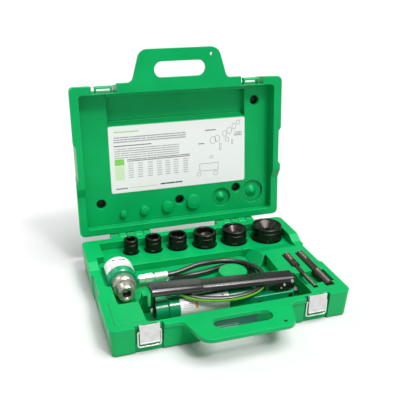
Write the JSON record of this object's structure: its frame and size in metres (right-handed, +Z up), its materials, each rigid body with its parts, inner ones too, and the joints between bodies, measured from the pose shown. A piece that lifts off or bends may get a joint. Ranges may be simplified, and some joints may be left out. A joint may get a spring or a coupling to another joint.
{
  "type": "hydraulic knockout punch kit in a carry case",
  "caption": "Moulded carry case, lid open, with hand pump, hose, hydraulic ram, round punches and dies and draw studs in fitted pockets.",
  "frame": {"origin": "centre of the case's underside", "axes": "+X to the right along the case's front, +Y towards the hinge at the back, +Z up"},
  "size_m": [0.54, 0.5534, 0.5345],
  "materials": {
    "case_green": "moulded, satin",
    "pin_steel": "plain",
    "card_white": "printed sheet, bare",
    "plate_green": "bare plate",
    "latch_steel": "zinc plated",
    "die_black": "black oxide",
    "punch_steel": "black oxide, worn bright edges",
    "ram_green": "enamel",
    "ram_steel": "machined",
    "label_white": "bare label",
    "fitting_steel": "zinc plated",
    "hose_rubber": "satin",
    "pump_green": "enamel",
    "handle_black": "semi-gloss enamel",
    "grip_black": "moulded sleeve",
    "plunger_steel": "ground",
    "knob_black": "knurled",
    "stud_dark": "oiled dark steel"
  },
  "bodies": {
    "base": {"case_base": "case_green", "hinge_pin_left": "pin_steel", "hinge_pin_right": "pin_steel", "latch_pin_left": "pin_steel", "latch_pin_right": "pin_steel", "pivot_pin": "pin_steel", "front_plate": "plate_green", "latch_bracket_left": "latch_steel", "latch_bracket_right": "latch_steel", "latch_rivets": "latch_steel", "die_1": "die_black", "punch_1": "punch_steel", "die_2": "die_black", "punch_2": "punch_steel", "die_3": "die_black", "punch_3": "punch_steel", "die_4": "die_black", "punch_4": "punch_steel", "die_5": "die_black", "punch_5": "punch_steel", "die_6": "die_black", "punch_6": "punch_steel", "ram_body": "ram_green", "ram_gland": "ram_steel", "ram_label": "label_white", "pump_label": "label_white", "ram_port_adapter": "fitting_steel", "hose_nut_ram": "fitting_steel", "hose_ferrule_ram": "fitting_steel", "pump_port_adapter": "fitting_steel", "hose_nut_pump": "fitting_steel", "hose_ferrule_pump": "fitting_steel", "rest_screw": "fitting_steel", "plunger_gland": "fitting_steel", "hose": "hose_rubber", "pump_reservoir": "pump_green", "pump_end_cap": "pump_green", "pump_head": "pump_green", "handle_rest": "handle_black", "draw_stud_small": "stud_dark", "draw_stud_large": "stud_dark"},
    "lid": {"case_lid": "case_green", "instruction_card": "card_white"},
    "lever_left": {"latch_lever_left": "latch_steel"},
    "bail_left": {"latch_bail_left": "latch_steel"},
    "lever_right": {"latch_lever_right": "latch_steel"},
    "bail_right": {"latch_bail_right": "latch_steel"},
    "pump_handle": {"pump_handle": "handle_black", "pump_grip": "grip_black", "ear_rivets": "fitting_steel", "plunger_pin": "pin_steel"},
    "plunger": {"pump_plunger": "plunger_steel"},
    "ram_piston": {"ram_piston": "ram_steel"},
    "release_knob": {"release_knob": "knob_black"}
  },
  "joints": [
    {"name": "lid_hinge", "type": "hinge", "parent": "base", "child": "lid", "pos_m": [0, 0.197, 0.072], "axis": [-1, 0, 0], "range_deg": [-96, 0]},
    {"name": "latch_lever_left", "type": "hinge", "parent": "base", "child": "lever_left", "pos_m": [-0.188, -0.1845, 0.066], "axis": [1, 0, 0], "range_deg": [-140, 0]},
    {"name": "latch_bail_left", "type": "hinge", "parent": "lever_left", "child": "bail_left", "pos_m": [-0.188, -0.1845, 0.052], "axis": [-1, 0, 0], "range_deg": [0, 175]},
    {"name": "latch_lever_right", "type": "hinge", "parent": "base", "child": "lever_right", "pos_m": [0.188, -0.1845, 0.066], "axis": [1, 0, 0], "range_deg": [-140, 0]},
    {"name": "latch_bail_right", "type": "hinge", "parent": "lever_right", "child": "bail_right", "pos_m": [0.188, -0.1845, 0.052], "axis": [-1, 0, 0], "range_deg": [0, 175]},
    {"name": "handle_pivot", "type": "hinge", "parent": "base", "child": "pump_handle", "pos_m": [0.15, -0.114, 0.08], "axis": [0, 1, 0], "range_deg": [0, 55]},
    {"name": "plunger_slide", "type": "slide", "parent": "base", "child": "plunger", "axis": [0, 0, 1], "range_m": [0, 0.0182]},
    {"name": "ram_slide", "type": "slide", "parent": "base", "child": "ram_piston", "axis": [0, -1, 0], "range_m": [0, 0.022]},
    {"name": "release_turn", "type": "hinge", "parent": "base", "child": "release_knob", "pos_m": [0.166, -0.114, 0.04], "axis": [1, 0, 0], "range_deg": [0, 180]}
  ],
  "couplings": [
    {"joint": "plunger_slide", "follows": "handle_pivot", "m_per_rad": 0.018877}
  ]
}
